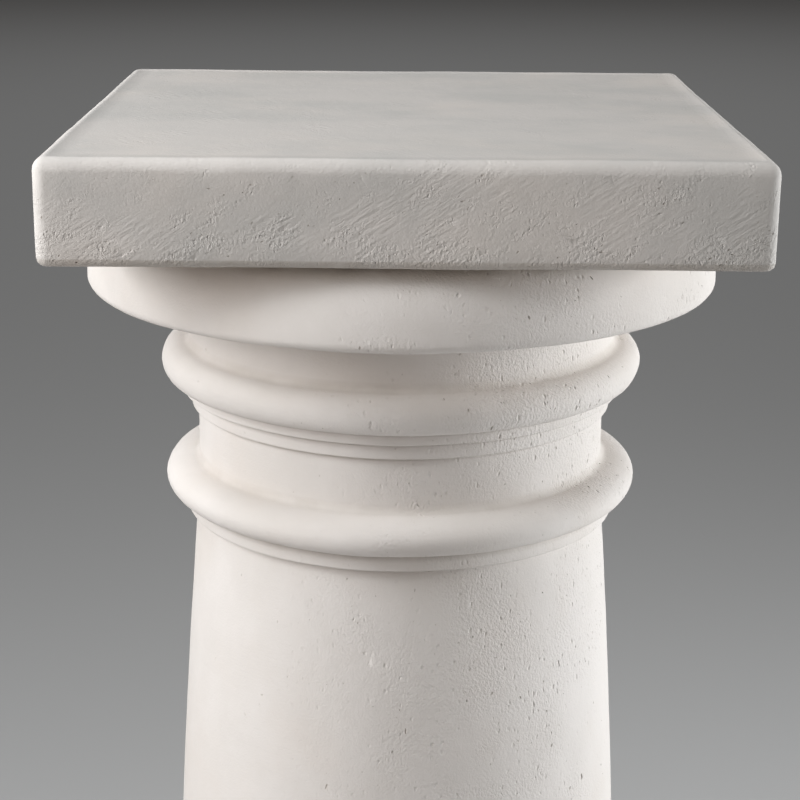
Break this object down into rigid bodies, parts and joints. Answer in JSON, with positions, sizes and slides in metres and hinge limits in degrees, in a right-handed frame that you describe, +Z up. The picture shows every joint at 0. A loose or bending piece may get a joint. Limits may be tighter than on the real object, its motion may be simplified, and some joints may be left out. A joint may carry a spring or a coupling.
{
  "type": "column",
  "caption": "Short round column with a square abacus, a cushion echinus, a ringed neck, a smooth tapering shaft and a moulded base on a square plinth.",
  "frame": {"origin": "centre of the underside of the plinth", "axes": "+Z up along the column's axis, X and Y square to the sides of the abacus and the plinth"},
  "size_m": [0.356, 0.356, 0.914],
  "materials": {
    "plaster": "matte"
  },
  "bodies": {
    "root": {"column": "plaster"}
  },
  "joints": []
}
